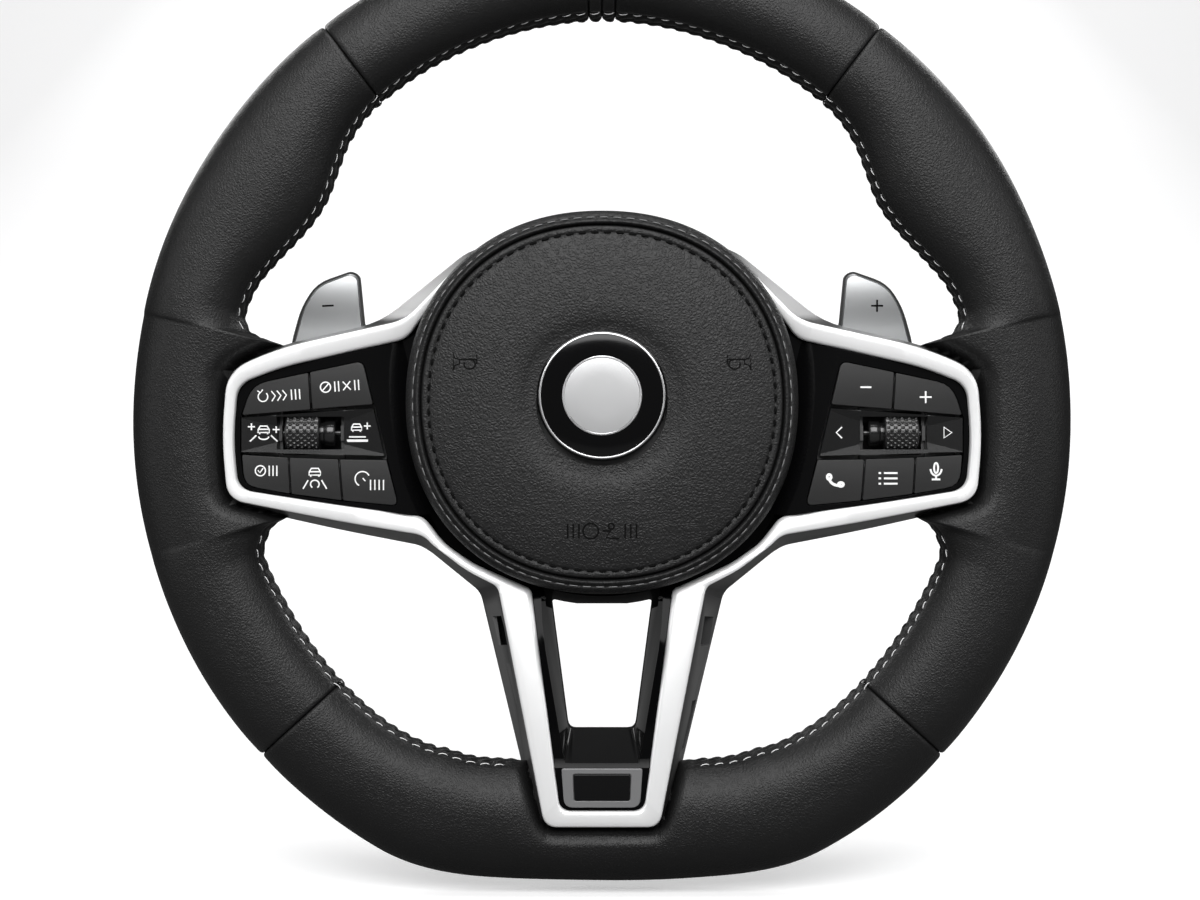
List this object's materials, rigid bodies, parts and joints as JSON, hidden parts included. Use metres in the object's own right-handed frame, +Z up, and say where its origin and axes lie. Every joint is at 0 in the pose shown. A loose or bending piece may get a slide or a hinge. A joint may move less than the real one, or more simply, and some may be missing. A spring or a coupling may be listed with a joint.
{
  "type": "steering wheel",
  "caption": "Sports steering wheel with leather rim, flat bottom, round airbag cover, switch clusters on both spokes, open lower spoke and shift paddles.",
  "frame": {"origin": "on the hub axis at the rear mouth of the column bore", "axes": "+Y along the column bore axis away from the driver, +Z up through the top of the rim, -Y towards the driver"},
  "size_m": [0.373, 0.0772, 0.3778],
  "materials": {
    "cast_magnesium": "as cast",
    "steel": "plain",
    "foam": "moulded skin",
    "leather": "fine grain, satin",
    "marker_leather": "fine grain, satin",
    "dark_plastic": "satin",
    "bright_trim": "satin silver",
    "gloss_black": "polished",
    "grey_plastic": "satin",
    "cover_skin": "grained soft skin",
    "airbag_fabric": "woven",
    "board": "lacquered",
    "key_plastic": "satin",
    "wheel_plastic": "knurled"
  },
  "bodies": {
    "wheel": {"armature": "cast_magnesium", "hub_insert": "steel", "rim_foam": "foam", "leather_top_left": "leather", "leather_top_right": "leather", "leather_marker_left": "marker_leather", "leather_marker_right": "marker_leather", "leather_left": "leather", "leather_right": "leather", "leather_bottom": "leather", "rear_cover": "dark_plastic", "spoke_housing": "dark_plastic", "spoke_back_plate": "dark_plastic", "cover_screws": "steel", "harness_connector": "dark_plastic", "trim_frame": "bright_trim", "lower_spoke_insert": "gloss_black", "badge_plate": "grey_plastic", "badge": "gloss_black", "bezel_left": "gloss_black", "bezel_right": "gloss_black", "wheel_yoke_left": "dark_plastic", "switch_carrier_left": "dark_plastic", "switch_carrier_right": "dark_plastic", "circuit_board_left": "board", "circuit_board_right": "board", "paddle_pin_left": "steel", "paddle_pin_right": "steel", "paddle_bracket_left": "grey_plastic", "paddle_bracket_right": "grey_plastic", "horn_springs": "steel"},
    "airbag_module": {"cover_shell": "dark_plastic", "cover_border": "cover_skin", "cover_panel": "cover_skin", "emblem_disc": "gloss_black", "emblem_ring": "bright_trim", "airbag_can": "steel", "airbag_cushion": "airbag_fabric", "gas_generator": "steel", "generator_nuts": "steel", "horn_pins": "steel"},
    "paddle_left_lever": {"paddle_left": "gloss_black", "paddle_face_left": "bright_trim"},
    "rocker_left_key": {"rocker_left": "gloss_black"},
    "paddle_right_lever": {"paddle_right": "gloss_black", "paddle_face_right": "bright_trim"},
    "rocker_right_key": {"rocker_right": "gloss_black"},
    "thumbwheel_left_roller": {"thumbwheel_left": "wheel_plastic"},
    "wheel_yoke_right_slider": {"wheel_yoke_right": "dark_plastic"},
    "thumbwheel_right_roller": {"thumbwheel_right": "wheel_plastic"},
    "button_left_top_outer_key": {"button_left_top_outer": "key_plastic"},
    "button_left_top_inner_key": {"button_left_top_inner": "key_plastic"},
    "button_left_low_outer_key": {"button_left_low_outer": "key_plastic"},
    "button_left_low_middle_key": {"button_left_low_middle": "key_plastic"},
    "button_left_low_inner_key": {"button_left_low_inner": "key_plastic"},
    "button_right_top_outer_key": {"button_right_top_outer": "key_plastic"},
    "button_right_top_inner_key": {"button_right_top_inner": "key_plastic"},
    "button_right_low_outer_key": {"button_right_low_outer": "key_plastic"},
    "button_right_low_middle_key": {"button_right_low_middle": "key_plastic"},
    "button_right_low_inner_key": {"button_right_low_inner": "key_plastic"}
  },
  "joints": [
    {"name": "horn_press", "type": "slide", "parent": "wheel", "child": "airbag_module", "axis": [0, 1, 0], "range_m": [0, 0.0025], "stiffness_N_per_m": 12000, "deforming": ["horn_springs"]},
    {"name": "paddle_left_pull", "type": "hinge", "parent": "wheel", "child": "paddle_left_lever", "pos_m": [-0.062, -0.0317, 0], "axis": [0, 0, 1], "range_deg": [0, 4], "stiffness_Nm_per_rad": 2.5},
    {"name": "paddle_right_pull", "type": "hinge", "parent": "wheel", "child": "paddle_right_lever", "pos_m": [0.062, -0.0317, 0], "axis": [0, 0, -1], "range_deg": [0, 4], "stiffness_Nm_per_rad": 2.5},
    {"name": "rocker_left_tilt", "type": "hinge", "parent": "wheel", "child": "rocker_left_key", "pos_m": [-0.1154, -0.0647, -0.0145], "axis": [0, 0, 1], "range_deg": [-1.5, 1.5], "stiffness_Nm_per_rad": 0.6},
    {"name": "rocker_right_tilt", "type": "hinge", "parent": "wheel", "child": "rocker_right_key", "pos_m": [0.1154, -0.0647, -0.0145], "axis": [0, 0, 1], "range_deg": [-1.5, 1.5], "stiffness_Nm_per_rad": 0.6},
    {"name": "thumbwheel_left_flick", "type": "hinge", "parent": "wheel", "child": "thumbwheel_left_roller", "pos_m": [-0.115, -0.0604, -0.0145], "axis": [1, 0, 0], "range_deg": [-15, 15], "stiffness_Nm_per_rad": 0.05},
    {"name": "thumbwheel_right_press", "type": "slide", "parent": "wheel", "child": "wheel_yoke_right_slider", "axis": [0, 1, 0], "range_m": [0, 0.0008], "stiffness_N_per_m": 1500},
    {"name": "thumbwheel_right_roll", "type": "hinge", "parent": "wheel_yoke_right_slider", "child": "thumbwheel_right_roller", "pos_m": [0.115, -0.0604, -0.0145], "axis": [1, 0, 0], "continuous": true},
    {"name": "button_left_top_outer_press", "type": "slide", "parent": "wheel", "child": "button_left_top_outer_key", "axis": [0, 1, 0], "range_m": [0, 0.001], "stiffness_N_per_m": 1200},
    {"name": "button_left_top_inner_press", "type": "slide", "parent": "wheel", "child": "button_left_top_inner_key", "axis": [0, 1, 0], "range_m": [0, 0.001], "stiffness_N_per_m": 1200},
    {"name": "button_left_low_outer_press", "type": "slide", "parent": "wheel", "child": "button_left_low_outer_key", "axis": [0, 1, 0], "range_m": [0, 0.001], "stiffness_N_per_m": 1200},
    {"name": "button_left_low_middle_press", "type": "slide", "parent": "wheel", "child": "button_left_low_middle_key", "axis": [0, 1, 0], "range_m": [0, 0.001], "stiffness_N_per_m": 1200},
    {"name": "button_left_low_inner_press", "type": "slide", "parent": "wheel", "child": "button_left_low_inner_key", "axis": [0, 1, 0], "range_m": [0, 0.001], "stiffness_N_per_m": 1200},
    {"name": "button_right_top_outer_press", "type": "slide", "parent": "wheel", "child": "button_right_top_outer_key", "axis": [0, 1, 0], "range_m": [0, 0.001], "stiffness_N_per_m": 1200},
    {"name": "button_right_top_inner_press", "type": "slide", "parent": "wheel", "child": "button_right_top_inner_key", "axis": [0, 1, 0], "range_m": [0, 0.001], "stiffness_N_per_m": 1200},
    {"name": "button_right_low_outer_press", "type": "slide", "parent": "wheel", "child": "button_right_low_outer_key", "axis": [0, 1, 0], "range_m": [0, 0.001], "stiffness_N_per_m": 1200},
    {"name": "button_right_low_middle_press", "type": "slide", "parent": "wheel", "child": "button_right_low_middle_key", "axis": [0, 1, 0], "range_m": [0, 0.001], "stiffness_N_per_m": 1200},
    {"name": "button_right_low_inner_press", "type": "slide", "parent": "wheel", "child": "button_right_low_inner_key", "axis": [0, 1, 0], "range_m": [0, 0.001], "stiffness_N_per_m": 1200}
  ]
}
